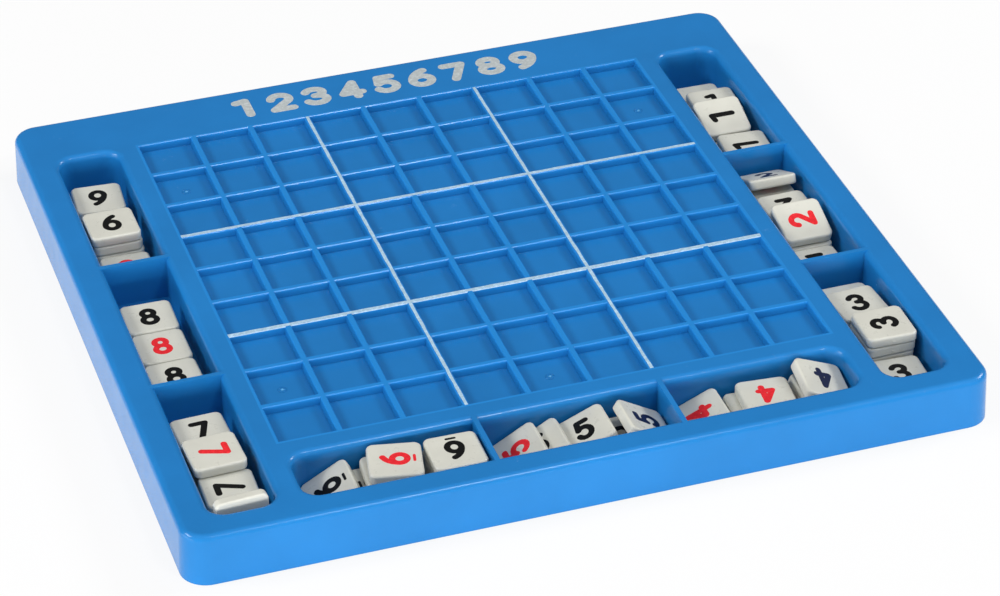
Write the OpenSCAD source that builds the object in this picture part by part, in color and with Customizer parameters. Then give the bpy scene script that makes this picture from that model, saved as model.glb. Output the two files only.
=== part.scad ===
// Number puzzle board: a one-piece moulded board with a nine by nine grid of shallow cells,
// three trays split into nine bays, and loose number tiles lying in the bays.
// The origin is the middle of the board's footprint, on the table.

/* [Board] */
// height of the deck above the table
board_h = 17; // [16.6:0.1:20]
// width of the deck between a tray and the board's edge
rim_w = 11; // [10:0.25:14]
// width of the deck behind the grid
back_w = 25; // [22:0.5:32]
// corner radius of the board in plan
corner_r = 8; // [6:0.5:10]
// rounding of the board's top edge
rim_r = 2.2; // [1.5:0.1:3]
// lean of the outer walls from the table to the deck
wall_draft = 0.5; // [0.2:0.1:1]
// thickness of the outer and tray walls
wall_t = 2; // [1.6:0.1:2.4]

/* [Grid] */
// spacing of the cells
cell_pitch = 20; // [18:0.25:24]
// depth of a cell below the deck
cell_depth = 2.6; // [2:0.1:3]
// width of a rib between cells at the deck
rib_top = 1.4; // [1.2:0.1:1.8]
// width of a rib between cells at the cell floor
rib_base = 2.6; // [2.2:0.1:3]
// small bevel along a rib's top edges
rib_bevel = 0.25; // [0.15:0.05:0.35]

/* [Trays] */
// play of a tile across its tray, both sides together
tray_play = 4; // [3.8:0.1:5]
// thickness of a tray's floor
floor_t = 1.8; // [1.6:0.1:2.2]
// width of the deck between the grid and a tray
strip_w = 6.9; // [6.5:0.1:10]
// how far the side trays end short of the grid's back
side_short = 0.8; // [0:0.1:3]
// how far the front tray ends short of the grid's sides
front_short = 1.4; // [1:0.1:3]
// thickness of a wall between two bays
divider_t = 1.6; // [1.4:0.1:2]
// corner radius at the ends of a tray in plan
tray_r = 5.5; // [4.5:0.1:6.5]
// rounding of a tray's lip
lip_r = 2; // [1.5:0.1:2.2]

/* [Underside] */
// thickness of the plate under the cells
plate_t = 2; // [1.6:0.1:2.4]
// thickness of a stiffening rib
stiff_t = 1.6; // [1.2:0.1:2]
// height of a stiffening rib below the cell plate
stiff_h = 6; // [4:0.5:8]

/* [Tiles] */
// play of a tile in its cell, both sides together
cell_play = 0.8; // [0.6:0.05:1]
// thickness of a number tile
tile_t = 3.5; // [3.4:0.05:3.55]
// corner radius of a tile in plan
tile_r = 2.2; // [1.8:0.1:2.6]
// rounding of a tile's edges
tile_edge = 0.8; // [0.5:0.05:1]
// air between one tile and the next below it
seat_gap = 0.05; // [0.04:0.01:0.08]
// air under a leaning tile where it bears
lean_gap = 0.12; // [0.1:0.01:0.2]

/* [Hidden] */
$fn = 64;

blue = [0.16, 0.47, 0.78];
ivory = [0.9, 0.89, 0.85];

// overrun of a cut past the face it opens
over = board_h;
// cells along one side of the grid, and bays along one tray
cells = 9;
bays = 3;
grid_w = cells * cell_pitch;
// side of a tile: the floor of a cell less its play
tile_s = cell_pitch - rib_base - cell_play;
tray_w = tile_s + tray_play;
// distance of a tray's middle, and of the board's edge past it, from the grid's middle
tray_reach = grid_w / 2 + strip_w + tray_w / 2;
edge_reach = tray_reach + tray_w / 2 + rim_w;
back_reach = grid_w / 2 + back_w;
board_w = 2 * edge_reach;
board_d = edge_reach + back_reach;
// distance of the grid's middle behind the board's middle
grid_shift = (edge_reach - back_reach) / 2;
// level of the tray floors
floor_z = floor_t;
tray_depth = board_h - floor_t;
// ends of the side trays in front of and behind the grid's middle
side_front = tray_reach + tray_w / 2;
side_back = grid_w / 2 - side_short;
side_len = side_front + side_back;
side_shift = (side_front - side_back) / 2;
front_len = grid_w - 2 * front_short;
// spacing of the bays in each tray
side_pitch = (side_len + divider_t) / bays;
front_pitch = (front_len + divider_t) / bays;
// quarter turn, and the small run past a corner that a rounding cut needs
turn = 90;
past = rim_r;
// run of one tile upwards in a stack
step_z = tile_t + seat_gap;
// room beside a tile in its bay, to one side
side_room = tray_play / 2;

// length of a front bay in tile widths: the places there are counted back from its right end
front_row_share = 3.494;

// Places of the tiles. A lying tile: how many tile widths its middle stands from the bay's near or
// left end, its share of the room across, the tiles below it, and its turn in degrees.
one_shares = [[0.512, 0, 0, 0], [1.536, 0, 0, 0], [2.7, 0, 0, 0], [0.514, 0, 1, 0], [1.538, 0, 1, 0],
  [2.94, 0.3, 1, -1], [2.369, -0.6, 2, -2], [0.545, -0.5, 2, -4]];
two_shares = [[0.512, 0.3, 0, 0], [1.566, 0.2, 0, 0], [3.428, 0, 0, 0], [1.53, 0.2, 1, 0],
  [2.934, 0.1, 1, 0], [0.515, 0.55, 1, 0.5], [2.283, 0.1, 2, 1.6]];
three_shares = [[0.715, 0.3, 0, 0], [1.781, -0.1, 0, 0], [1.781, -0.1, 1, 1], [3.32, 0, 0, 0],
  [3.293, 0.1, 1, 0], [2.84, 0.2, 2, 4], [1.766, -0.2, 2, 1.5], [1.762, -0.4, 3, -1], [0.705, 0.4, 1, -3]];
four_shares = [[1.157, 0, 0, 0], [2.331, 0, 0, 0], [1.615, 0, 1, -2], [1.825, -0.2, 2, -5]];
five_shares = [[1.614, 0, 0, 0], [2.982, 0, 0, 0], [2.49, 0, 1, 0]];
six_shares = [[2.955, -0.2, 0, 0], [1.94, 0, 0, 0], [2.955, -0.3, 1, 0.5], [1.524, 0, 1, -1],
  [2.945, -0.5, 2, 1], [1.747, 0, 2, -5], [1.83, -0.1, 3, -12], [2.945, -0.8, 3, -1]];
seven_shares = [[0.902, 0.2, 0, 0], [1.92, 0.2, 0, 0], [2.938, 0.3, 0, 0], [1.016, 0.1, 1, -1],
  [2.884, 0.4, 1, 1], [2.866, 0.55, 2, 2], [1.914, 0.55, 3, 2.4], [1.022, 0.15, 2, -1.5]];
eight_shares = [[0.53, 0.8, 0, 0], [1.56, 0.8, 0, 0], [2.59, 0.8, 0, 0], [0.53, 0.85, 1, 0],
  [1.56, 0.85, 1, 0], [2.59, 0.85, 1, 0], [2.59, 0.8, 2, -1], [1.56, 0.85, 2, 0.2], [0.53, 0.8, 2, 1.5]];
nine_shares = [[0.52, 0.4, 0, 0], [1.545, 0.4, 0, 0], [1.545, 0.3, 1, 1], [2.88, 0.4, 0, -1],
  [2.875, 0.4, 1, -3], [2.87, 0.45, 2, -4], [1.545, 0.7, 3, 0.5], [1.545, 0.5, 2, 0.5], [0.52, 0.1, 1, -1]];

// A leaning tile: where its lower edge bears and the tiles below that edge, where its underside
// crosses the corner that holds it up and the tiles below that corner, and its share across.
one_lean_shares = [1.145, 2, 1.864, 3, 0.6];
two_lean_shares = [1.1, 2, 1.775, 3, 0.15];
two_back_shares = [3.874, 1, 3.434, 2, 0];
four_lean_shares = [0.17, 0, 0.657, 1, 0.85];
four_back_shares = [3.325, 0, 2.831, 1, 0.3];
five_top_shares = [1.48, 1, 1.99, 2, 0.5];
five_back_shares = [3.349, 1, 2.99, 2, -0.7];
six_lean_shares = [0.26, 0, 1.024, 2, 0.8];
// the two tiles that lie on the leaning five: where the lower one bears, and their shares across
five_pile_shares = [0.675, 0.6, 0.65];
// how far the top leaning four has slid up the one below it, its share across, and its tip in degrees
four_pile_shares = [0.095, 0.4, 9];
// the seven that stands on edge: its place, its share across and its turn
seven_stand_shares = [0.24, 0.1, 4];

// Middle of a bay, and the turn of its tray.
function bay_spot(d) =
  d <= 3 ? [tray_reach, grid_shift - side_shift + (2 - d) * side_pitch]
  : d <= 6 ? [(5 - d) * front_pitch, grid_shift - tray_reach]
  : [-tray_reach, grid_shift - side_shift + (d - 8) * side_pitch];
function bay_side(d) = d <= 3 || d >= 7;
function bay_len(d) = (bay_side(d) ? side_pitch : front_pitch) - divider_t;

// Start of the places in a bay, measured from its near or left end.
function bay_start(d) = bay_side(d) ? 0 : bay_len(d) - front_row_share * tile_s;

// Slope of a leaning tile, from its bearing edge and its corner.
function lean_angle(p) = atan2(abs(p[3] - p[1]) * step_z, abs(p[2] - p[0]) * tile_s);

// The pile of fives: the corner of the top one of the bed that the next leans on.
five_slope = lean_angle(five_top_shares);
five_knee = [five_top_shares[0] * tile_s - tile_t * sin(five_slope),
  step_z * five_top_shares[1] + lean_gap + tile_t * cos(five_slope)];
five_foot = five_pile_shares[0] * tile_s;
pile_slope = atan2(five_knee[1], five_knee[0] - five_foot);
pile_slip = (tile_t + lean_gap) / sin(pile_slope);
four_slope = lean_angle(four_back_shares);

// Section from a block's middle part to its wall, with the top edge rounded.
module wall_section(r, h, e, lean) {
  difference() {
    polygon([[0, 0], [r + lean, 0], [r, h - e], [r, h], [0, h]]);
    translate([r - e, h - e]) {
      difference() {
        square([e + past, e + past]);
        circle(r = e);
      }
    }
  }
}

// Section of a tray from its middle part to its wall, opening out at the lip.
module tray_section() {
  difference() {
    square([tray_r + lip_r, tray_depth]);
    translate([tray_r, -over]) square([lip_r + over, over + tray_depth - lip_r]);
    translate([tray_r + lip_r, tray_depth - lip_r]) circle(r = lip_r);
  }
}

// Section of a tile from its middle part to its side, with both edges rounded.
module tile_section() {
  difference() {
    square([tile_r, tile_t]);
    for (m = [0, 1]) {
      translate([0, m * tile_t]) mirror([0, m]) translate([tile_r - tile_edge, tile_edge]) {
        difference() {
          translate([0, -tile_edge - past]) square([tile_edge + past, tile_edge + past]);
          circle(r = tile_edge);
        }
      }
    }
  }
}

// A block with rounded corners, swept from a section: w and d over the corner centres.
module swept_block(w, d, h) {
  translate([-w / 2, -d / 2, 0]) cube([w, d, h]);
  for (a = [0, 2]) {
    rotate(a * turn) {
      translate([w / 2, d / 2, 0]) rotate([turn, 0, 0]) linear_extrude(d) children();
      translate([-w / 2, d / 2, 0]) rotate([turn, 0, turn]) linear_extrude(w) children();
      translate([w / 2, d / 2, 0]) rotate_extrude(angle = turn) children();
      translate([-w / 2, d / 2, 0]) rotate(turn) rotate_extrude(angle = turn) children();
    }
  }
}

// Hollow of one tray, from its floor to above the deck.
module tray_cut(len) {
  translate([0, 0, floor_z]) swept_block(len - 2 * tray_r, tray_w - 2 * tray_r, tray_depth) tray_section();
}

// Tub of one tray below the deck, as a plain block.
module tub(len) {
  translate([-len / 2 - wall_t, -tray_w / 2 - wall_t, 0])
    cube([len + 2 * wall_t, tray_w + 2 * wall_t, board_h - wall_t]);
}

// Walls between the bays of one tray.
module dividers(pitch) {
  for (i = [-1, 1]) {
    translate([i * pitch / 2 - divider_t / 2, -tray_w / 2 - lip_r, floor_z - seat_gap])
      cube([divider_t, tray_w + 2 * lip_r, tray_depth + seat_gap]);
  }
}

module on_front_tray() {
  translate([0, grid_shift - tray_reach, 0]) children();
}

module on_side_trays() {
  for (i = [-1, 1]) {
    translate([i * tray_reach, grid_shift - side_shift, 0]) rotate(turn) children();
  }
}

// Section of a row of cells: drafted walls with a small bevel at the deck.
module row_section() {
  low = (cell_pitch - rib_base) / 2;
  high = (cell_pitch - rib_top) / 2 - rib_bevel;
  mouth = high + rib_bevel;
  for (i = [0 : cells - 1]) {
    translate([(i - (cells - 1) / 2) * cell_pitch, 0]) {
      polygon([[-low, -cell_depth], [low, -cell_depth], [high, -rib_bevel], [mouth, 0],
        [mouth, rib_bevel], [-mouth, rib_bevel], [-mouth, 0], [-high, -rib_bevel]]);
    }
  }
}

// All the cells at once: rows one way crossed with rows the other way.
module cell_cut() {
  translate([0, grid_shift, board_h]) {
    intersection() {
      translate([0, grid_w / 2, 0]) rotate([turn, 0, 0]) linear_extrude(grid_w) row_section();
      translate([-grid_w / 2, 0, 0]) rotate([turn, 0, turn]) linear_extrude(grid_w) row_section();
    }
  }
}

// Hollow of the underside: all but the walls, the deck, the tubs, the cell plate and its ribs.
module under_cut() {
  in_w = board_w - 2 * (wall_t + wall_draft);
  in_d = board_d - 2 * (wall_t + wall_draft);
  in_r = corner_r - wall_t;
  plate_z = board_h - cell_depth - plate_t;
  difference() {
    translate([0, 0, -over]) {
      linear_extrude(over + board_h - wall_t) {
        square([in_w - 2 * in_r, in_d], center = true);
        square([in_w, in_d - 2 * in_r], center = true);
        for (x = [-1, 1], y = [-1, 1]) {
          translate([x * (in_w / 2 - in_r), y * (in_d / 2 - in_r)]) circle(r = in_r);
        }
      }
    }
    on_front_tray() tub(front_len);
    on_side_trays() tub(side_len);
    translate([-grid_w / 2, grid_shift - grid_w / 2, plate_z]) cube([grid_w, grid_w, board_h]);
    for (i = [-1, 1]) {
      translate([i * grid_w / (2 * bays) - stiff_t / 2, grid_shift - grid_w / 2, plate_z - stiff_h])
        cube([stiff_t, grid_w, stiff_h + plate_t]);
      translate([-grid_w / 2, grid_shift + i * grid_w / (2 * bays) - stiff_t / 2, plate_z - stiff_h])
        cube([grid_w, stiff_t, stiff_h + plate_t]);
    }
  }
}

module board() {
  color(blue) {
    difference() {
      swept_block(board_w - 2 * (corner_r + wall_draft), board_d - 2 * (corner_r + wall_draft), board_h)
        wall_section(corner_r, board_h, rim_r, wall_draft);
      on_front_tray() tray_cut(front_len);
      on_side_trays() tray_cut(side_len);
      cell_cut();
      under_cut();
    }
    on_front_tray() dividers(front_pitch);
    on_side_trays() dividers(side_pitch);
  }
}

// One tile, its middle over the origin and its underside on it.
module tile() {
  swept_block(tile_s - 2 * tile_r, tile_s - 2 * tile_r, tile_t) tile_section();
}

// Stands its children in a bay, measured along the tray from the start of its places.
module in_bay(d) {
  translate([bay_spot(d)[0], bay_spot(d)[1], floor_z]) rotate(bay_side(d) ? turn : 0)
    translate([bay_start(d) - bay_len(d) / 2, 0, 0]) color(ivory) children();
}

module lie(p) {
  translate([p[0] * tile_s, p[1] * side_room, p[2] * step_z + seat_gap]) rotate(p[3]) tile();
}

// A tile that leans up from a bearing edge at x, z; way is 1 for rising along the tray, -1 against it,
// and tip raises its far side.
module lean_at(x, z, slope, across, way, tip = 0) {
  translate([x, across * side_room - tile_s / 2, z + lean_gap]) rotate([0, -way * slope, 0])
    rotate([tip, 0, 0]) translate([way * tile_s / 2, tile_s / 2, 0]) tile();
}

module lean(p, way) {
  lean_at(p[0] * tile_s, p[1] * step_z, lean_angle(p), p[4], way);
}

// The tiles below, one group for each bay, each a loose solid of its own.
module bed(d, shares, count) {
  in_bay(d) for (i = [0 : count - 1]) lie(shares[i]);
}

module bed_1() { bed(1, one_shares, 5); }
module tile_1_a() { in_bay(1) lie(one_shares[5]); }
module tile_1_b() { in_bay(1) lie(one_shares[6]); }
module tile_1_c() { in_bay(1) lean(one_lean_shares, 1); }
module tile_1_d() { in_bay(1) lie(one_shares[7]); }

module bed_2() { bed(2, two_shares, 5); }
module tile_2_a() { in_bay(2) lean(two_back_shares, -1); }
module tile_2_b() { in_bay(2) lie(two_shares[6]); }
module tile_2_c() { in_bay(2) lean(two_lean_shares, 1); }
module tile_2_d() { in_bay(2) lie(two_shares[5]); }

module bed_3() { bed(3, three_shares, 4); }
module tile_3_a() { in_bay(3) lie(three_shares[4]); }
module tile_3_b() { in_bay(3) lie(three_shares[5]); }
module tile_3_c() { in_bay(3) lie(three_shares[7]); }
module tile_3_d() { in_bay(3) lie(three_shares[8]); }
module tile_3_e() { in_bay(3) lie(three_shares[6]); }

module bed_4() {
  bed(4, four_shares, 2);
  in_bay(4) lean(four_back_shares, -1);
}
module tile_4_a() { in_bay(4) lean(four_lean_shares, 1); }
module tile_4_b() { in_bay(4) lie(four_shares[3]); }
module tile_4_c() {
  // lies on the leaning tile of the bed, slid up its slope
  lift = tile_t + lean_gap;
  slid = four_pile_shares[0] * tile_s;
  in_bay(4) lean_at(four_back_shares[0] * tile_s + lift * sin(four_slope) - slid * cos(four_slope),
    lift * cos(four_slope) + slid * sin(four_slope), four_slope, four_pile_shares[1], -1,
    four_pile_shares[2]);
}
module tile_4_d() { in_bay(4) lie(four_shares[2]); }

module bed_5() { bed(5, five_shares, 2); }
module tile_5_a() { in_bay(5) lean_at(five_foot - pile_slip, 0, pile_slope, five_pile_shares[2], 1); }
module tile_5_b() { in_bay(5) lean_at(five_foot, 0, pile_slope, five_pile_shares[1], 1); }
module tile_5_c() { in_bay(5) lean(five_top_shares, 1); }
module tile_5_d() { in_bay(5) lean(five_back_shares, -1); }
module tile_5_e() { in_bay(5) lie(five_shares[2]); }

module bed_6() { bed(6, six_shares, 6); }
module tile_6_a() { in_bay(6) lean(six_lean_shares, 1); }
module tile_6_b() { in_bay(6) lie(six_shares[6]); }
module tile_6_c() { in_bay(6) lie(six_shares[7]); }

module bed_7() { bed(7, seven_shares, 5); }
module tile_7_a() { in_bay(7) lie(seven_shares[5]); }
module tile_7_b() { in_bay(7) lie(seven_shares[6]); }
module tile_7_c() { in_bay(7) lie(seven_shares[7]); }
module tile_7_d() {
  // stands on edge across the front end of the bay
  along = seven_stand_shares[0] * tile_s;
  across = seven_stand_shares[1] * side_room;
  in_bay(7) translate([along, across, tile_s / 2 + seat_gap]) rotate(seven_stand_shares[2])
    rotate([0, turn, 0]) translate([0, 0, -tile_t / 2]) tile();
}

module bed_8() { bed(8, eight_shares, 6); }
module tile_8_a() { in_bay(8) lie(eight_shares[6]); }
module tile_8_b() { in_bay(8) lie(eight_shares[7]); }
module tile_8_c() { in_bay(8) lie(eight_shares[8]); }

module bed_9() { bed(9, nine_shares, 5); }
module tile_9_a() { in_bay(9) lie(nine_shares[5]); }
module tile_9_b() { in_bay(9) lie(nine_shares[6]); }
module tile_9_c() { in_bay(9) lie(nine_shares[8]); }
module tile_9_d() { in_bay(9) lie(nine_shares[7]); }

board();
bed_1();
tile_1_a();
tile_1_b();
tile_1_c();
tile_1_d();
bed_2();
tile_2_a();
tile_2_b();
tile_2_c();
tile_2_d();
bed_3();
tile_3_a();
tile_3_b();
tile_3_c();
tile_3_d();
tile_3_e();
bed_4();
tile_4_a();
tile_4_b();
tile_4_c();
tile_4_d();
bed_5();
tile_5_a();
tile_5_b();
tile_5_c();
tile_5_d();
tile_5_e();
bed_6();
tile_6_a();
tile_6_b();
tile_6_c();
bed_7();
tile_7_a();
tile_7_b();
tile_7_c();
tile_7_d();
bed_8();
tile_8_a();
tile_8_b();
tile_8_c();
bed_9();
tile_9_a();
tile_9_b();
tile_9_c();
tile_9_d();
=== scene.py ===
"""A blue moulded number puzzle board with loose ivory tiles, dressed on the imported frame.

The board and the tiles are the frame's own solids. This script gives them their plastics and adds
what is printed or moulded on: digits, grid lines, the row of numbers on the back band and gate marks.
"""

import math
import random

import bmesh
import bpy
from mathutils import Matrix, Vector
from mathutils.geometry import delaunay_2d_cdt


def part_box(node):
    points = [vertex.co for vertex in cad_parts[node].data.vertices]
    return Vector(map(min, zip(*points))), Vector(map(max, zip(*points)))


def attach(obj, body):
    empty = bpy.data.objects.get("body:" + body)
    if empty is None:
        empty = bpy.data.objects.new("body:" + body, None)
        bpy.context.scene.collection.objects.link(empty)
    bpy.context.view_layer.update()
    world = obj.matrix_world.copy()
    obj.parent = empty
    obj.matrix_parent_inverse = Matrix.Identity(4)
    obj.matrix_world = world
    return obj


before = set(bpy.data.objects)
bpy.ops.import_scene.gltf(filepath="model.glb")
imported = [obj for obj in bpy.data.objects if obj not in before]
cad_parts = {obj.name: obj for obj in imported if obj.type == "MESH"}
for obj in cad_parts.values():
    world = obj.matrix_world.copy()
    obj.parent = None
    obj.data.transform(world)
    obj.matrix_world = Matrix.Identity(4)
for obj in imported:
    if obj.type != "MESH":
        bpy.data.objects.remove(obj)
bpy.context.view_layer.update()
MM = 0.001
rng = random.Random(9)
scene = bpy.context.scene
scene.view_settings.view_transform = "Standard"

# Sizes, in millimetres

# grid: spacing of the cells, cells across, and the grid's middle behind the board's middle
CELL = 20.0
CELLS = 9
GRID_BACK = 6.75
CELL_DEPTH = 2.6
# height of the deck
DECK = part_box("board")[1].z / MM
# how far print stands above what carries it, and how far it is sunk into it
PRINT_UP = 0.02
PRINT_DOWN = 0.03
# digits on the tiles: height and width over all, and stroke
DIGIT_H = 9.4
DIGIT_W = 6.3
STROKE = 2.0
# short bar under a six: length, stroke, and distance of its middle below the digit
BAR_L = 2.6
BAR_STROKE = 0.9
BAR_DROP = 1.15
# row of numbers on the back band: height, width, stroke, spacing, and its middle from the grid's middle
ROW_H = 12.4
ROW_W = 9.8
ROW_STROKE = 3.2
ROW_PITCH = 12.6
ROW_RIGHT = 2.0
ROW_BACK = 101.5
# printed grid lines: width of those across and of those front to back, how far they wander, the steps
# in which they do, and how far the second set stands above the first where they cross
LINE_W = (1.3, 1.05)
LINE_WANDER = 0.09
LINE_STEPS = 72
LINE_LIFT = 0.004
# half the width of a block of three cells, where the lines run
BLOCK_HALF = 1.5 * CELL
# the rib under the front line has a bevel that took print too: rib width, and the bevel's slant width
RIB_W = 1.4
BEVEL_W = 0.35
# the painted highlight on the rib tops, a lighter blue that stands for the sheen of their edges: how
# far below the deck it ends, how much lighter it is, and the width over which it fades at the grid's
# edge
SHEEN_DROP = 0.9
SHEEN_LIGHTER = 1.2
SHEEN_FADE = 0.2
# gate marks on cell floors: ring radius and tube, nub radius and height, and the cells they are in,
# counted from the middle one
GATE_R = 1.35
GATE_TUBE = 0.16
GATE_NUB = 0.48
GATE_NUB_UP = 0.24
GATE_CELLS = [(-4, 3), (4, 3), (-4, -3), (0, -4)]
# gate nub on a tile's side: half its length, half its width, height, and how far it sits below the
# side's middle, as a share of half the thickness
NUB_L = 0.55
NUB_W = 0.44
NUB_UP = 0.18
NUB_BELOW = 0.1
# half of a tile's side, from a tile that lies square to the frame
TILE_HALF = (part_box("tile_3_a")[1].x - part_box("tile_3_a")[0].x) / 2 / MM

# Colours, as linear red, green and blue

BOARD_BLUE = (0.013, 0.187, 0.505)
TILE_IVORY = (0.635, 0.63, 0.56)
INK_BLACK = (0.005, 0.005, 0.005)
INK_RED = (0.70, 0.022, 0.03)
# dark blue for the print on three tilted tiles: black ink with its bluish sheen painted in
INK_BLACK_SHEEN = (0.006, 0.01, 0.045)
PRINT_GREY = (0.42, 0.455, 0.46)
LINE_GREY = (0.36, 0.51, 0.63)
# lighter blue for the gate nubs: a painted highlight, partly paling under strain
GATE_NUB_HIGHLIGHT_BLUE = (0.10, 0.38, 0.72)
WORN_BLUE = (0.28, 0.45, 0.72)

# Scales of the noises in the materials, per metre

BOARD_CLOUDS = 28.0
BOARD_RUBS = 150.0
BOARD_GRAIN = 2600.0
TILE_CLOUDS = 90.0
TILE_MARKS = 420.0
TILE_GRAIN = 3000.0
INK_THIN = 900.0

# Stage, in metres

# floor: side, drop below the part, grey of its lit share, and the share that shows as plain white
FLOOR_SIDE = 12.0
FLOOR_DROP = 0.0001
FLOOR_GREY = 0.86
FLOOR_GLOW = 0.85
# lamps: place, aim, size, watts, and whether gloss mirrors them
LAMPS = {
    "top": ((0.3, -0.7, 1.2), (0, 0, 0), (0.18, 0.14), 3.2, True),
    "front": ((-0.25, -1.35, 0.13), (0, 0, 0.01), (1.6, 0.26), 16.0, False),
    "left": ((-1.3, -0.15, 0.13), (0, 0, 0.01), (1.2, 0.26), 5.0, True),
    "left_box": ((-1.3, 0.1, 0.95), (0, 0, 0), (0.6, 0.4), 11.0, True),
    "right_box": ((1.3, 0.1, 0.95), (0, 0, 0), (0.6, 0.4), 11.0, True),
}
# sky: where it fades from front to back, its strength there, and its share at the horizon and overhead
SKY_FADE = (-0.7, 0.7)
SKY_STRENGTH = (0.54, 0.2)
SKY_SHARE = (0.3, 1.4)
# camera: sensor width and lens in millimetres, place in millimetres from the grid's middle on the deck,
# and its right, up and back directions
SENSOR_W = 36.0
LENS = 132.09
CAMERA_PLACE = (-298.93, -954.61, 650.87)
CAMERA_RIGHT = (0.94970803, -0.3130313, -0.00812798)
CAMERA_UP = (0.18159137, 0.5294139, 0.82870109)
CAMERA_BACK = (-0.25510631, -0.78850005, 0.55963241)

# The side that shows on each tile: its ink, and which way the top of the digit points.
SHOWN = {
    "tile_1_a": ("black", "left"),
    "tile_1_b": ("black", "up"),
    "tile_1_c": ("black", "left"),
    "tile_1_d": ("black", "left"),
    "tile_2_a": ("navy", "up"),
    "tile_2_b": ("black", "down"),
    "tile_2_c": ("red", "left"),
    "tile_2_d": ("black", "down"),
    "tile_3_a": ("red", "left"),
    "tile_3_b": ("black", "up"),
    "tile_3_c": ("black", "left"),
    "tile_3_d": ("black", "up"),
    "tile_3_e": ("red", "up"),
    "tile_4_a": ("red", "left"),
    "tile_4_b": ("red", "down"),
    "tile_4_c": ("navy", "down"),
    "tile_4_d": ("black", "up"),
    "tile_5_a": ("red", "left"),
    "tile_5_b": ("black", "up"),
    "tile_5_c": ("black", "up"),
    "tile_5_d": ("navy", "left"),
    "tile_5_e": ("black", "left"),
    "tile_6_a": ("black", "left"),
    "tile_6_b": ("red", "left"),
    "tile_6_c": ("black", "down"),
    "tile_7_a": ("black", "up"),
    "tile_7_b": ("red", "right"),
    "tile_7_c": ("black", "left"),
    "tile_7_d": ("black", "up"),
    "tile_8_a": ("black", "up"),
    "tile_8_b": ("red", "up"),
    "tile_8_c": ("black", "up"),
    "tile_9_a": ("black", "up"),
    "tile_9_b": ("black", "down"),
    "tile_9_c": ("red", "up"),
    "tile_9_d": ("black", "up"),
}
QUARTERS = {"up": 0, "left": 1, "down": 2, "right": 3}
# tiles in the beds that show an edge of their print, counted from the left
BED_SHOWN = {("bed_6", 0): ("black", "right")}
# the tile on edge turns a bare side to the front
BARE_BELOW = {"tile_7_d"}
# a tile in a bed that lies with a bare side up
BARE_ABOVE = {("bed_2", 3)}


# Materials


def node_maker(tree):
    """A function that makes a node in a tree and sets its inputs or settings."""

    def node(kind, **values):
        n = tree.nodes.new(kind)
        for key, value in values.items():
            if key in n.inputs:
                n.inputs[key].default_value = value
            else:
                setattr(n, key, value)
        return n

    return node


def new_material(name):
    """A material with its links, its shader and a node maker."""
    mat = bpy.data.materials.new(name)
    mat.use_nodes = True
    tree = mat.node_tree
    return mat, tree.links, tree.nodes["Principled BSDF"], node_maker(tree)


def ramp(node, links, source, low, high, out_low=0.0, out_high=1.0):
    """Maps a value from low..high to out_low..out_high, clamped."""
    n = node("ShaderNodeMapRange")
    n.inputs["From Min"].default_value = low
    n.inputs["From Max"].default_value = high
    n.inputs["To Min"].default_value = out_low
    n.inputs["To Max"].default_value = out_high
    links.new(source, n.inputs["Value"])
    return n.outputs["Result"]


def tinted(node, links, factor, first, second):
    """A colour between first and second."""
    n = node("ShaderNodeMix", data_type="RGBA")
    n.inputs[6].default_value = (*first, 1)
    n.inputs[7].default_value = (*second, 1)
    links.new(factor, n.inputs["Factor"])
    return n.outputs[2]


def over(node, links, factor, under, colour):
    """One colour laid over another by a factor."""
    n = node("ShaderNodeMix", data_type="RGBA")
    n.inputs[7].default_value = (*colour, 1)
    links.new(factor, n.inputs["Factor"])
    links.new(under, n.inputs[6])
    return n.outputs[2]


def noise(node, links, coords, scale, detail, rough):
    """A noise of a scale, with its fine detail and that detail's share."""
    n = node("ShaderNodeTexNoise", Scale=scale, Detail=detail, Roughness=rough)
    links.new(coords, n.inputs["Vector"])
    return n.outputs["Fac"]


def bump(node, links, shader, height, distance, strength):
    """Relief of a height map on a shader."""
    n = node("ShaderNodeBump", Strength=strength, Distance=distance)
    links.new(height, n.inputs["Height"])
    links.new(n.outputs["Normal"], shader.inputs["Normal"])


def shade(colour, factor):
    """A colour made darker or lighter."""
    return tuple(min(1.0, c * factor) for c in colour)


def near_middle(node, links, value, middle, reach):
    """One within reach of the middle, and zero from a little further out."""
    away = node("ShaderNodeMath", operation="SUBTRACT")
    away.inputs[1].default_value = middle
    links.new(value, away.inputs[0])
    size = node("ShaderNodeMath", operation="ABSOLUTE")
    links.new(away.outputs[0], size.inputs[0])
    return ramp(node, links, size.outputs[0], reach, reach + SHEEN_FADE * MM, 1.0, 0.0)


def product(node, links, first, second):
    """Two values multiplied."""
    n = node("ShaderNodeMath", operation="MULTIPLY")
    links.new(first, n.inputs[0])
    links.new(second, n.inputs[1])
    return n.outputs[0]


def rib_top_sheen_mask(node, links, coords):
    """One on the tops of the grid's ribs, where a lighter blue is painted as their highlight, and zero
    elsewhere.
    """
    split = node("ShaderNodeSeparateXYZ")
    links.new(coords, split.inputs[0])
    reach = CELLS * CELL / 2 * MM
    across = near_middle(node, links, split.outputs["X"], 0.0, reach)
    along = near_middle(node, links, split.outputs["Y"], GRID_BACK * MM, reach)
    high = ramp(node, links, split.outputs["Z"], (DECK - SHEEN_DROP) * MM, (DECK - SHEEN_DROP / 3) * MM)
    return product(node, links, product(node, links, across, along), high)


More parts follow.
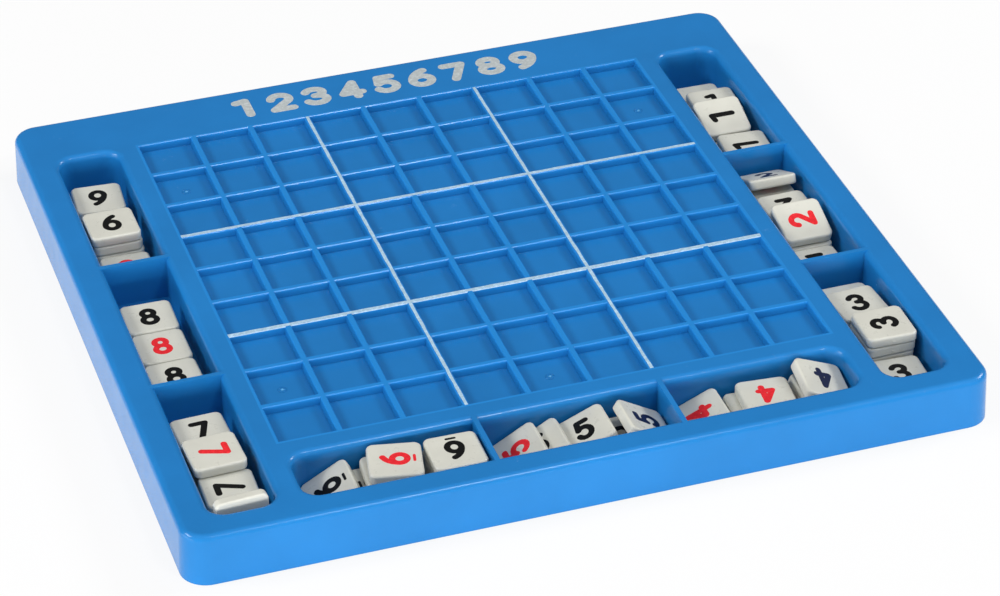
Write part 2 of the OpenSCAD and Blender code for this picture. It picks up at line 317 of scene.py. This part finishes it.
def board_plastic():
    """Blue styrene: satin gloss, faint flow clouds, fine grain, a few dull rubs, and rib tops painted
    lighter as their highlight.
    """
    mat, links, shader, node = new_material("board_plastic")
    at = node("ShaderNodeTexCoord").outputs["Object"]
    clouds = noise(node, links, at, BOARD_CLOUDS, detail=4.0, rough=0.55)
    grain = noise(node, links, at, BOARD_GRAIN, detail=2.0, rough=0.6)
    rubs = noise(node, links, at, BOARD_RUBS, detail=6.0, rough=0.72)
    flow = ramp(node, links, clouds, low=0.3, high=0.7)
    colour = tinted(node, links, flow, shade(BOARD_BLUE, 0.93), shade(BOARD_BLUE, 1.06))
    worn = ramp(node, links, rubs, low=0.66, high=0.8, out_low=0.0, out_high=0.16)
    colour = over(node, links, worn, colour, WORN_BLUE)
    # painted highlight: the rib tops are made a lighter blue to stand for their sheen
    colour = over(node, links, rib_top_sheen_mask(node, links, at), colour, shade(BOARD_BLUE, SHEEN_LIGHTER))
    links.new(colour, shader.inputs["Base Color"])
    dull = ramp(node, links, rubs, low=0.3, high=0.75, out_low=0.15, out_high=0.28)
    links.new(dull, shader.inputs["Roughness"])
    bump(node, links, shader, grain, distance=0.00002, strength=0.25)
    shader.inputs["IOR"].default_value = 1.5
    shader.inputs["Specular IOR Level"].default_value = 0.3
    return mat


def tile_plastic():
    """Ivory plastic: slightly waxy, with faint sink clouds and handling marks."""
    mat, links, shader, node = new_material("tile_plastic")
    at = node("ShaderNodeTexCoord").outputs["Object"]
    clouds = noise(node, links, at, TILE_CLOUDS, detail=3.0, rough=0.5)
    marks = noise(node, links, at, TILE_MARKS, detail=5.0, rough=0.7)
    grain = noise(node, links, at, TILE_GRAIN, detail=2.0, rough=0.5)
    sink = ramp(node, links, clouds, low=0.3, high=0.7)
    colour = tinted(node, links, sink, shade(TILE_IVORY, 0.95), shade(TILE_IVORY, 1.04))
    links.new(colour, shader.inputs["Base Color"])
    dull = ramp(node, links, marks, low=0.35, high=0.7, out_low=0.26, out_high=0.4)
    links.new(dull, shader.inputs["Roughness"])
    bump(node, links, shader, grain, distance=0.000015, strength=0.2)
    shader.inputs["IOR"].default_value = 1.48
    return mat


def ink(name, colour, roughness):
    """Pad-printed ink: solid, with thin spots that come out a little lighter."""
    mat, links, shader, node = new_material(name)
    at = node("ShaderNodeTexCoord").outputs["Object"]
    thin = noise(node, links, at, INK_THIN, detail=4.0, rough=0.7)
    spots = ramp(node, links, thin, low=0.45, high=0.8)
    links.new(tinted(node, links, spots, colour, shade(colour, 1.5)), shader.inputs["Base Color"])
    dull = ramp(node, links, thin, low=0.3, high=0.7, out_low=roughness, out_high=roughness + 0.1)
    links.new(dull, shader.inputs["Roughness"])
    shader.inputs["Specular IOR Level"].default_value = 0.15
    return mat


BOARD = board_plastic()
TILE = tile_plastic()
INKS = {
    "black": ink("ink_black", INK_BLACK, 0.35),
    "red": ink("ink_red", INK_RED, 0.35),
    # black print on tilted tiles with a painted bluish sheen
    "navy": ink("ink_black_painted_sheen", INK_BLACK_SHEEN, 0.35),
}
GREY = ink("print_grey", PRINT_GREY, 0.42)
LINES = ink("line_grey", LINE_GREY, 0.42)
# lighter blue on the gate nubs: a painted highlight, partly the plastic's paling under strain where the
# gate broke off
NUB_HIGHLIGHT = ink("gate_nub_painted_highlight", GATE_NUB_HIGHLIGHT_BLUE, 0.3)
MARK_MATERIALS = [TILE, INKS["black"], INKS["red"], INKS["navy"]]
MARK_SLOT = {"tile": 0, "black": 1, "red": 2, "navy": 3}


# Digits as strokes. Points are shares of the digit's width and height along the stroke's middle.


def arc(cx, cy, rx, ry, start, end, steps=14):
    """Points on an ellipse from one angle to another, in degrees."""
    turn = [math.radians(start + (end - start) * i / steps) for i in range(steps + 1)]
    return [(cx + rx * math.cos(t), cy + ry * math.sin(t)) for t in turn]


def curve(a, b, c, steps=10):
    """Points on a curve from a to c, drawn towards b."""
    points = []
    for i in range(steps + 1):
        s = i / steps
        weights = ((1 - s) ** 2, 2 * s * (1 - s), s * s)
        points.append(tuple(sum(w * v for w, v in zip(weights, axis)) for axis in zip(a, b, c)))
    return points


SIX = [
    curve((0.78, 1.0), (0.12, 0.82), (0.0, 0.34)),
    arc(0.5, 0.31, 0.5, 0.31, 0, 180),
    arc(0.5, 0.31, 0.5, 0.31, 180, 360),
]
DIGITS = {
    1: [[(0.1, 0.92), (0.6, 1.0)], [(0.6, 1.0), (0.6, 0.0)]],
    2: [arc(0.5, 0.7, 0.48, 0.3, 170, -28) + [(0.0, 0.0)], [(0.0, 0.0), (1.0, 0.0)]],
    3: [arc(0.46, 0.765, 0.46, 0.235, 160, -90), arc(0.46, 0.265, 0.52, 0.265, 90, -160)],
    4: [[(0.7, 0.0), (0.7, 1.0)], [(0.7, 1.0), (0.0, 0.27)], [(0.0, 0.27), (1.0, 0.27)]],
    5: [[(0.9, 1.0), (0.2, 1.0)], [(0.2, 1.0), (0.1, 0.55)], arc(0.46, 0.325, 0.52, 0.325, 135, -155)],
    6: SIX,
    7: [[(0.0, 1.0), (0.98, 1.0)], [(0.98, 1.0), (0.34, 0.0)]],
    8: [
        arc(0.5, 0.765, 0.42, 0.235, 0, 180),
        arc(0.5, 0.765, 0.42, 0.235, 180, 360),
        arc(0.5, 0.265, 0.5, 0.265, 0, 180),
        arc(0.5, 0.265, 0.5, 0.265, 180, 360),
    ],
    9: [[(1 - x, 1 - y) for x, y in stroke] for stroke in SIX],
}


def ribbon(points, width, cap_steps=8):
    """Outline of a stroke with round ends."""
    r = width / 2
    pts = [Vector(p) for p in points]
    sides = []
    for i, p in enumerate(pts):
        along = (pts[min(i + 1, len(pts) - 1)] - pts[max(i - 1, 0)]).normalized()
        sides.append((p, Vector((-along.y, along.x)) * r))
    left = [p + s for p, s in sides]
    right = [p - s for p, s in sides]

    def cap(centre, start):
        base = math.atan2(start.y, start.x)
        turns = [base - math.pi * k / cap_steps for k in range(1, cap_steps)]
        return [centre + Vector((math.cos(t), math.sin(t))) * r for t in turns]

    return left + cap(pts[-1], sides[-1][1]) + right[::-1] + cap(pts[0], -sides[0][1])


def digit_strokes(number, height, width, stroke):
    """Outlines of a digit about its middle, in millimetres."""
    w, h = width - stroke, height - stroke
    return [
        ribbon([((x - 0.5) * w, (y - 0.5) * h) for x, y in points], stroke) for points in DIGITS[number]
    ]


def covers(outline, x, y):
    """Whether a point lies inside an outline."""
    inside = False
    for p, q in zip(outline, outline[1:] + outline[:1]):
        if (p[1] > y) != (q[1] > y) and x < p[0] + (y - p[1]) * (q[0] - p[0]) / (q[1] - p[1]):
            inside = not inside
    return inside


def merged(outlines):
    """Triangles of the area that the outlines cover together: points and faces."""
    verts, faces = [], []
    for outline in outlines:
        faces.append(list(range(len(verts), len(verts) + len(outline))))
        verts += [Vector(p) for p in outline]
    points, _, triangles, *_ = delaunay_2d_cdt(verts, [], faces, 1, 1e-5)
    kept = []
    for tri in triangles:
        middle = sum((points[i] for i in tri), Vector((0, 0))) / 3
        if any(covers(outline, middle.x, middle.y) for outline in outlines):
            kept.append(tri)
    return points, kept


def add_print(bm, outlines, place, slot):
    """Lays a flat print of the outlines on a face: place takes millimetres in the face to the frame."""
    points, triangles = merged(outlines)
    made = {}

    def vert(i, z):
        if (i, z) not in made:
            made[i, z] = bm.verts.new(place @ Vector((points[i].x, points[i].y, z)))
        return made[i, z]

    edges = {}
    for tri in triangles:
        for a, b in zip(tri, tri[1:] + tri[:1]):
            edges[a, b] = True
        for z, order in ((PRINT_UP, tri), (-PRINT_DOWN, tri[::-1])):
            bm.faces.new([vert(i, z) for i in order]).material_index = slot
    for a, b in edges:
        if (b, a) not in edges:
            wall = [vert(a, PRINT_UP), vert(a, -PRINT_DOWN), vert(b, -PRINT_DOWN), vert(b, PRINT_UP)]
            bm.faces.new(wall).material_index = slot


def finish_mesh(name, bm, materials, body):
    """Turns a mesh in the making into a piece that rides on a body."""
    bmesh.ops.recalc_face_normals(bm, faces=bm.faces)
    mesh = bpy.data.meshes.new(name)
    bm.to_mesh(mesh)
    bm.free()
    obj = bpy.data.objects.new(name, mesh)
    scene.collection.objects.link(obj)
    for mat in materials:
        mesh.materials.append(mat)
    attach(obj, body)


# Tiles


def tile_places(obj):
    """For each tile in a node: a matrix from millimetres about its middle, and half its thickness.

    The tile's top looks along z there.
    """
    bm = bmesh.new()
    bm.from_mesh(obj.data)
    bmesh.ops.remove_doubles(bm, verts=bm.verts, dist=1e-6)
    left = set(bm.faces)
    places = []
    while left:
        island, edge = set(), [left.pop()]
        while edge:
            face = edge.pop()
            island.add(face)
            near = {f for e in face.edges for f in e.link_faces} & left
            left -= near
            edge += near
        places.append(place_of(island))
    bm.free()
    places.sort(key=lambda p: [round(v, 5) for v in p[0].translation])
    return places


def place_of(faces):
    """Axes of one tile from its flat faces: the widest pair is its top and bottom."""
    areas = []
    for face in faces:
        n = face.normal
        for entry in areas:
            if abs(entry[0].dot(n)) > 0.9999:
                entry[1] += face.calc_area()
                break
        else:
            areas.append([n.copy(), face.calc_area()])
    areas.sort(key=lambda e: -e[1])
    up = areas[0][0]
    if up.z < -1e-3 or (abs(up.z) < 1e-3 and up.y < 0):
        up = -up
    sides = [e[0] for e in areas[1:8] if abs(e[0].dot(up)) < 0.01]
    right = max((s * sign for s in sides[:2] for sign in (1, -1)), key=lambda v: v.x)
    right = (right - up * right.dot(up)).normalized()
    back = up.cross(right)
    verts = {v for f in faces for v in f.verts}
    middle, half = Vector(), 0
    for axis in (right, back, up):
        reach = [v.co.dot(axis) for v in verts]
        middle += axis * (max(reach) + min(reach)) / 2
        half = (max(reach) - min(reach)) / 2
    axes = Matrix((right, back, up)).transposed().to_4x4()
    return Matrix.Translation(middle) @ axes @ Matrix.Scale(MM, 4), half / MM


def add_nub(bm, place, half, side):
    """Small gate nub in the middle of one side of a tile."""
    turn = Matrix.Rotation(math.pi / 2 * side, 4, "Z")
    seat = place @ turn @ Matrix.Translation((TILE_HALF, 0, -half * NUB_BELOW))
    made = bmesh.ops.create_uvsphere(bm, u_segments=12, v_segments=8, radius=1.0)["verts"]
    shape = Matrix.Diagonal((NUB_UP, NUB_L, NUB_W, 1))
    bmesh.ops.transform(bm, matrix=seat @ shape, verts=made)


def dress_tiles():
    """Tile plastic on the tile nodes, and one piece of print and gate nubs for each."""
    other = {"black": "red", "red": "black", "navy": "red"}
    for name, obj in sorted(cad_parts.items()):
        if name == "board":
            continue
        obj.data.materials.clear()
        obj.data.materials.append(TILE)
        number = int(name.split("_")[1])
        strokes = digit_strokes(number, DIGIT_H, DIGIT_W, STROKE)
        if number == 6:
            drop = -DIGIT_H / 2 - BAR_DROP
            strokes.append(ribbon([(-BAR_L / 2, drop), (BAR_L / 2, drop)], BAR_STROKE))
        bm = bmesh.new()
        for index, (place, half) in enumerate(tile_places(obj)):
            chance = (rng.choice(["black", "red"]), rng.choice(list(QUARTERS)))
            tone, way = SHOWN.get(name) or BED_SHOWN.get((name, index), chance)
            turn = Matrix.Rotation(math.pi / 2 * QUARTERS[way], 4, "Z")
            top = place @ Matrix.Translation((0, 0, half)) @ turn
            below = place @ Matrix.Rotation(math.pi, 4, "X") @ Matrix.Translation((0, 0, half)) @ turn
            if (name, index) not in BARE_ABOVE:
                add_print(bm, strokes, top, MARK_SLOT[tone])
            if name not in BARE_BELOW:
                add_print(bm, strokes, below, MARK_SLOT[other[tone]])
            add_nub(bm, place, half, rng.randrange(4))
        finish_mesh("marks_" + name, bm, MARK_MATERIALS, name)


# Board


def on_deck(x, y, z=0.0):
    """Place on the deck: x and y from the grid's middle, z above the deck, in millimetres."""
    return Matrix.Scale(MM, 4) @ Matrix.Translation((x, y + GRID_BACK, DECK + z))


def grid_lines():
    """Four printed lines on the rib tops between the blocks of nine cells."""
    reach = CELLS * CELL / 2 - RIB_W / 2
    bm = bmesh.new()
    for along in (0, 1):
        for offset in (-BLOCK_HALF, BLOCK_HALF):
            upper, lower = [], []
            for i in range(LINE_STEPS + 1):
                t = -reach + 2 * reach * i / LINE_STEPS
                wide = LINE_W[along] / 2
                upper.append((t, offset + wide + rng.uniform(-1, 1) * LINE_WANDER))
                lower.append((t, offset - wide + rng.uniform(-1, 1) * LINE_WANDER))
            outline = lower + upper[::-1]
            if along:
                outline = [(y, x) for x, y in outline][::-1]
            add_print(bm, [outline], on_deck(0, 0, LINE_LIFT * along), 0)
    slant = on_deck(0, -BLOCK_HALF - RIB_W / 2) @ Matrix.Rotation(math.pi / 4, 4, "X")
    add_print(bm, [[(-reach, -BEVEL_W), (reach, -BEVEL_W), (reach, 0), (-reach, 0)]], slant, 0)
    finish_mesh("grid_print", bm, [LINES], "board")


def number_row():
    """A plain row of numbers stamped on the back band."""
    bm = bmesh.new()
    for number in range(1, CELLS + 1):
        x = (number - (CELLS + 1) / 2) * ROW_PITCH + ROW_RIGHT
        add_print(bm, digit_strokes(number, ROW_H, ROW_W, ROW_STROKE), on_deck(x, ROW_BACK), 0)
    finish_mesh("number_row", bm, [GREY], "board")


def gate_marks():
    """Rings with a nub where the plastic came in, on a few cell floors."""
    bm = bmesh.new()
    ring_steps, tube_steps = 32, 8
    for col, row in GATE_CELLS:
        place = on_deck(col * CELL, row * CELL, -CELL_DEPTH)
        loop = []
        for i in range(ring_steps):
            a = 2 * math.pi * i / ring_steps
            tube = []
            for k in range(tube_steps):
                t = 2 * math.pi * k / tube_steps
                r = GATE_R + GATE_TUBE * math.cos(t)
                point = Vector((r * math.cos(a), r * math.sin(a), GATE_TUBE * math.sin(t)))
                tube.append(bm.verts.new(place @ point))
            loop.append(tube)
        for i in range(ring_steps):
            one, two = loop[i], loop[(i + 1) % ring_steps]
            for k in range(tube_steps):
                n = (k + 1) % tube_steps
                bm.faces.new([one[k], two[k], two[n], one[n]])
        made = bmesh.ops.create_uvsphere(bm, u_segments=14, v_segments=8, radius=1.0)["verts"]
        shape = Matrix.Diagonal((GATE_NUB, GATE_NUB, GATE_NUB_UP, 1))
        bmesh.ops.transform(bm, matrix=place @ shape, verts=made)
        # the nubs take the lighter blue, a painted highlight with some paling under strain
        for face in {f for v in made for f in v.link_faces}:
            face.material_index = 1
    for face in bm.faces:
        face.smooth = True
    finish_mesh("gate_marks", bm, [BOARD, NUB_HIGHLIGHT], "board")


def dress_board():
    """Board plastic on the board, and what is printed or moulded on it."""
    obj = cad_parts["board"]
    obj.data.materials.clear()
    obj.data.materials.append(BOARD)
    grid_lines()
    number_row()
    gate_marks()


# Stage


def floor():
    """White table: it keeps a soft shadow and shows as nearly white."""
    bpy.ops.mesh.primitive_plane_add(size=FLOOR_SIDE, location=(0, 0, -FLOOR_DROP))
    obj = bpy.context.object
    obj.name = "floor"
    mat = bpy.data.materials.new("floor_white")
    mat.use_nodes = True
    nodes, links = mat.node_tree.nodes, mat.node_tree.links
    nodes.clear()
    lit = nodes.new("ShaderNodeBsdfDiffuse")
    lit.inputs["Color"].default_value = (FLOOR_GREY, FLOOR_GREY, FLOOR_GREY, 1)
    glow = nodes.new("ShaderNodeEmission")
    glow.inputs["Strength"].default_value = 1.0
    path = nodes.new("ShaderNodeLightPath")
    seen = nodes.new("ShaderNodeMath")
    seen.operation = "MAXIMUM"
    links.new(path.outputs["Is Camera Ray"], seen.inputs[0])
    links.new(path.outputs["Is Glossy Ray"], seen.inputs[1])
    through = nodes.new("ShaderNodeMath")
    through.operation = "MAXIMUM"
    links.new(seen.outputs[0], through.inputs[0])
    links.new(path.outputs["Is Transmission Ray"], through.inputs[1])
    share = nodes.new("ShaderNodeMath")
    share.operation = "MULTIPLY"
    share.inputs[1].default_value = FLOOR_GLOW
    links.new(through.outputs[0], share.inputs[0])
    mix = nodes.new("ShaderNodeMixShader")
    links.new(share.outputs[0], mix.inputs["Fac"])
    links.new(lit.outputs[0], mix.inputs[1])
    links.new(glow.outputs[0], mix.inputs[2])
    out = nodes.new("ShaderNodeOutputMaterial")
    links.new(mix.outputs[0], out.inputs["Surface"])
    obj.data.materials.append(mat)


def area_light(name, place, aim, size, power, mirrored):
    """A soft box that looks from its place to its aim."""
    data = bpy.data.lights.new(name, "AREA")
    data.shape = "RECTANGLE"
    data.size, data.size_y = size
    data.energy = power
    obj = bpy.data.objects.new(name, data)
    obj.location = place
    obj.rotation_mode = "QUATERNION"
    obj.rotation_quaternion = (Vector(aim) - Vector(place)).to_track_quat("-Z", "Y")
    obj.visible_glossy = mirrored
    scene.collection.objects.link(obj)


def lights():
    """A top light, boxes on both sides, low ones for the front and left walls, and a soft sky."""
    for name, settings in LAMPS.items():
        area_light(name, *settings)
    world = bpy.data.worlds.new("studio")
    scene.world = world
    world.use_nodes = True
    nodes, links = world.node_tree.nodes, world.node_tree.links
    back = nodes["Background"]
    back.inputs["Color"].default_value = (1, 1, 1, 1)
    where = nodes.new("ShaderNodeTexCoord")
    split = nodes.new("ShaderNodeSeparateXYZ")
    links.new(where.outputs["Generated"], split.inputs[0])
    node = node_maker(world.node_tree)
    fall = ramp(node, links, split.outputs["Y"], *SKY_FADE, *SKY_STRENGTH)
    rise = ramp(node, links, split.outputs["Z"], 0.0, 1.0, *SKY_SHARE)
    links.new(product(node, links, fall, rise), back.inputs["Strength"])


def camera():
    """The camera that the grid's picture gives."""
    data = bpy.data.cameras.new("camera")
    data.sensor_width = SENSOR_W
    data.lens = LENS
    data.clip_end = 20.0
    obj = bpy.data.objects.new("camera", data)
    place = (Vector(CAMERA_PLACE) + Vector((0, GRID_BACK, DECK))) * MM
    turn = Matrix((CAMERA_RIGHT, CAMERA_UP, CAMERA_BACK)).transposed().to_4x4()
    obj.matrix_world = Matrix.Translation(place) @ turn
    scene.collection.objects.link(obj)
    scene.camera = obj


dress_board()
dress_tiles()
floor()
lights()
camera()

bpy.context.view_layer.update()
